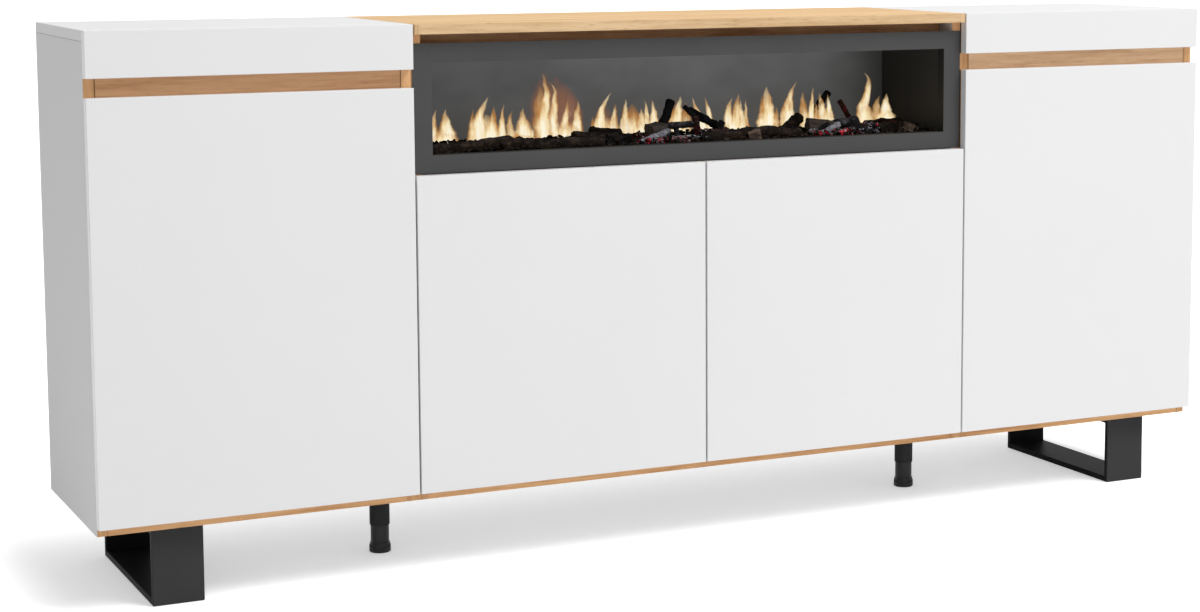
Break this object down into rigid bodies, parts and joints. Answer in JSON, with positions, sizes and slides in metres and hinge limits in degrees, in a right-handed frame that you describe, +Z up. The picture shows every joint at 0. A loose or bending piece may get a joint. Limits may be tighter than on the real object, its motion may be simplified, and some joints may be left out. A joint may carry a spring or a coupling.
{
  "type": "electric fireplace sideboard",
  "caption": "Long low sideboard in white and oak with an electric flame-effect fire, grip grooves, hinged doors, sled legs and levelling feet.",
  "frame": {"origin": "on the floor under the middle of the sideboard", "axes": "+X along the front from left to right, the fronts face -Y, +Z up"},
  "size_m": [2, 0.36, 0.87],
  "materials": {
    "white_board": "white melamine-faced chipboard with oak edging at the front edges",
    "white_front": "satin white faced board",
    "oak": "light oak decor, matt",
    "back_panel": "thin white-faced hardboard",
    "black_steel": "satin black powder coat",
    "anthracite_steel": "matt anthracite powder coat",
    "housing_steel": "matt black stove paint",
    "smoked_screen": "smoked diffusing acrylic",
    "charred_logs": "moulded and painted resin bark and charcoal",
    "nickel": "nickel-plated steel",
    "foil": "mirror foil",
    "grey_plastic": "grey moulded plastic",
    "black_plastic": "black moulded plastic",
    "led_board": "white lamp strip"
  },
  "bodies": {
    "carcass": {"left_outer_side": "white_board", "left_inner_side": "white_board", "left_top": "white_board", "left_bottom": "white_board", "left_back": "back_panel", "left_shelf": "white_board", "left_grip_rail": "oak", "left_fascia": "white_front", "right_outer_side": "white_board", "right_inner_side": "white_board", "right_top": "white_board", "right_bottom": "white_board", "right_back": "back_panel", "right_shelf": "white_board", "right_grip_rail": "oak", "right_fascia": "white_front", "centre_left_side": "white_board", "centre_right_side": "white_board", "centre_top": "oak", "centre_bottom": "white_board", "centre_back": "back_panel", "centre_shelf": "white_board", "centre_vent_rail": "oak", "fire_deck": "white_board", "left_door_upper_hinge_arm": "nickel", "left_door_lower_hinge_arm": "nickel", "right_door_upper_hinge_arm": "nickel", "right_door_lower_hinge_arm": "nickel", "centre_left_door_upper_hinge_arm": "nickel", "centre_left_door_lower_hinge_arm": "nickel", "centre_right_door_upper_hinge_arm": "nickel", "centre_right_door_lower_hinge_arm": "nickel", "left_sled_leg": "black_steel", "right_sled_leg": "black_steel", "left_foot_sleeve": "black_steel", "right_foot_sleeve": "black_steel", "fire_housing": "housing_steel", "fire_bezel": "anthracite_steel", "flame_screen": "smoked_screen", "ember_bed": "charred_logs", "rotor_motor": "grey_plastic", "led_bar": "led_board", "mains_inlet": "black_plastic"},
    "left_door": {"left_door": "white_front", "left_door_upper_hinge_cup": "nickel", "left_door_lower_hinge_cup": "nickel"},
    "right_door": {"right_door": "white_front", "right_door_upper_hinge_cup": "nickel", "right_door_lower_hinge_cup": "nickel"},
    "centre_left_door": {"centre_left_door": "white_front", "centre_left_door_upper_hinge_cup": "nickel", "centre_left_door_lower_hinge_cup": "nickel"},
    "centre_right_door": {"centre_right_door": "white_front", "centre_right_door_upper_hinge_cup": "nickel", "centre_right_door_lower_hinge_cup": "nickel"},
    "centre_left_push_latch": {"centre_left_push_latch": "grey_plastic"},
    "centre_right_push_latch": {"centre_right_push_latch": "grey_plastic"},
    "left_foot_adjuster": {"left_foot_adjuster": "black_steel"},
    "right_foot_adjuster": {"right_foot_adjuster": "black_steel"},
    "flame_rotor": {"flame_rotor": "foil"}
  },
  "joints": [
    {"name": "left_door_hinge", "type": "hinge", "parent": "carcass", "child": "left_door", "pos_m": [-0.9945, -0.176, 0.133], "axis": [0, 0, -1], "range_deg": [0, 95]},
    {"name": "right_door_hinge", "type": "hinge", "parent": "carcass", "child": "right_door", "pos_m": [0.9945, -0.176, 0.133], "axis": [0, 0, 1], "range_deg": [0, 95]},
    {"name": "centre_left_door_hinge", "type": "hinge", "parent": "carcass", "child": "centre_left_door", "pos_m": [-0.49375, -0.176, 0.133], "axis": [0, 0, -1], "range_deg": [0, 95]},
    {"name": "centre_right_door_hinge", "type": "hinge", "parent": "carcass", "child": "centre_right_door", "pos_m": [0.49375, -0.176, 0.133], "axis": [0, 0, 1], "range_deg": [0, 95]},
    {"name": "centre_left_latch_press", "type": "slide", "parent": "carcass", "child": "centre_left_push_latch", "axis": [0, 1, 0], "range_m": [0, 0.0012], "stiffness_N_per_m": 150, "springref_m": -0.004},
    {"name": "centre_right_latch_press", "type": "slide", "parent": "carcass", "child": "centre_right_push_latch", "axis": [0, 1, 0], "range_m": [0, 0.0012], "stiffness_N_per_m": 150, "springref_m": -0.004},
    {"name": "left_foot_height", "type": "slide", "parent": "carcass", "child": "left_foot_adjuster", "axis": [0, 0, 1], "range_m": [-0.005, 0.01]},
    {"name": "right_foot_height", "type": "slide", "parent": "carcass", "child": "right_foot_adjuster", "axis": [0, 0, 1], "range_m": [-0.005, 0.01]},
    {"name": "flame_rotor_spin", "type": "hinge", "parent": "carcass", "child": "flame_rotor", "pos_m": [0, 0.113, 0.69], "axis": [1, 0, 0], "continuous": true}
  ]
}
